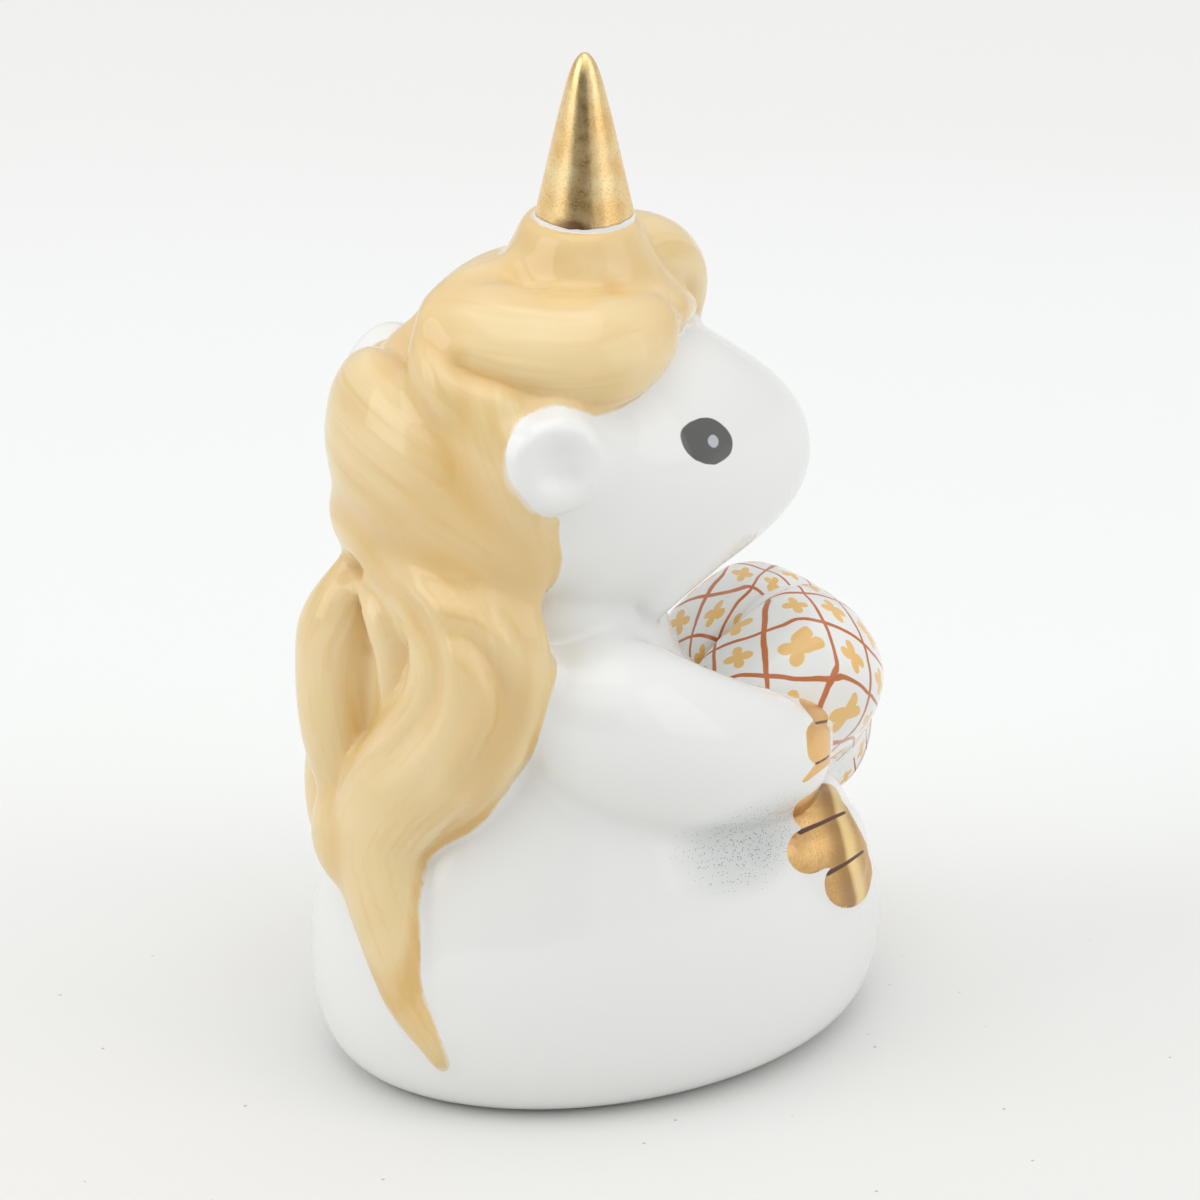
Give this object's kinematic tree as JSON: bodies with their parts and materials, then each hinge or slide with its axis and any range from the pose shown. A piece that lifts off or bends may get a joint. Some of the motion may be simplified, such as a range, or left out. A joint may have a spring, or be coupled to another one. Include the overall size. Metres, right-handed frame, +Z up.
{
  "type": "unicorn figurine",
  "caption": "Small glazed porcelain figurine of a seated baby unicorn hugging a puffy patterned heart, with gilded horn and hooves; stands on its flat foot.",
  "frame": {"origin": "middle of the flat foot", "axes": "+Z up through the horn, -Y the way the face and the heart look, +X the unicorn's left side"},
  "size_m": [0.0453, 0.0592, 0.0954],
  "materials": {
    "body_glaze": "gloss glaze over white porcelain",
    "hair_glaze": "straw-yellow underglaze, gloss",
    "gilding": "burnished gold over glaze",
    "heart_glaze": "white glaze with a painted rust and ochre pattern, gloss"
  },
  "bodies": {
    "root": {"torso": "body_glaze", "head": "body_glaze", "ear_right": "body_glaze", "ear_left": "body_glaze", "arm_right": "body_glaze", "arm_left": "body_glaze", "leg_right": "body_glaze", "leg_left": "body_glaze", "mane": "hair_glaze", "forelock_right": "hair_glaze", "forelock_left": "hair_glaze", "tail": "hair_glaze", "horn": "gilding", "heart": "heart_glaze"}
  },
  "joints": []
}
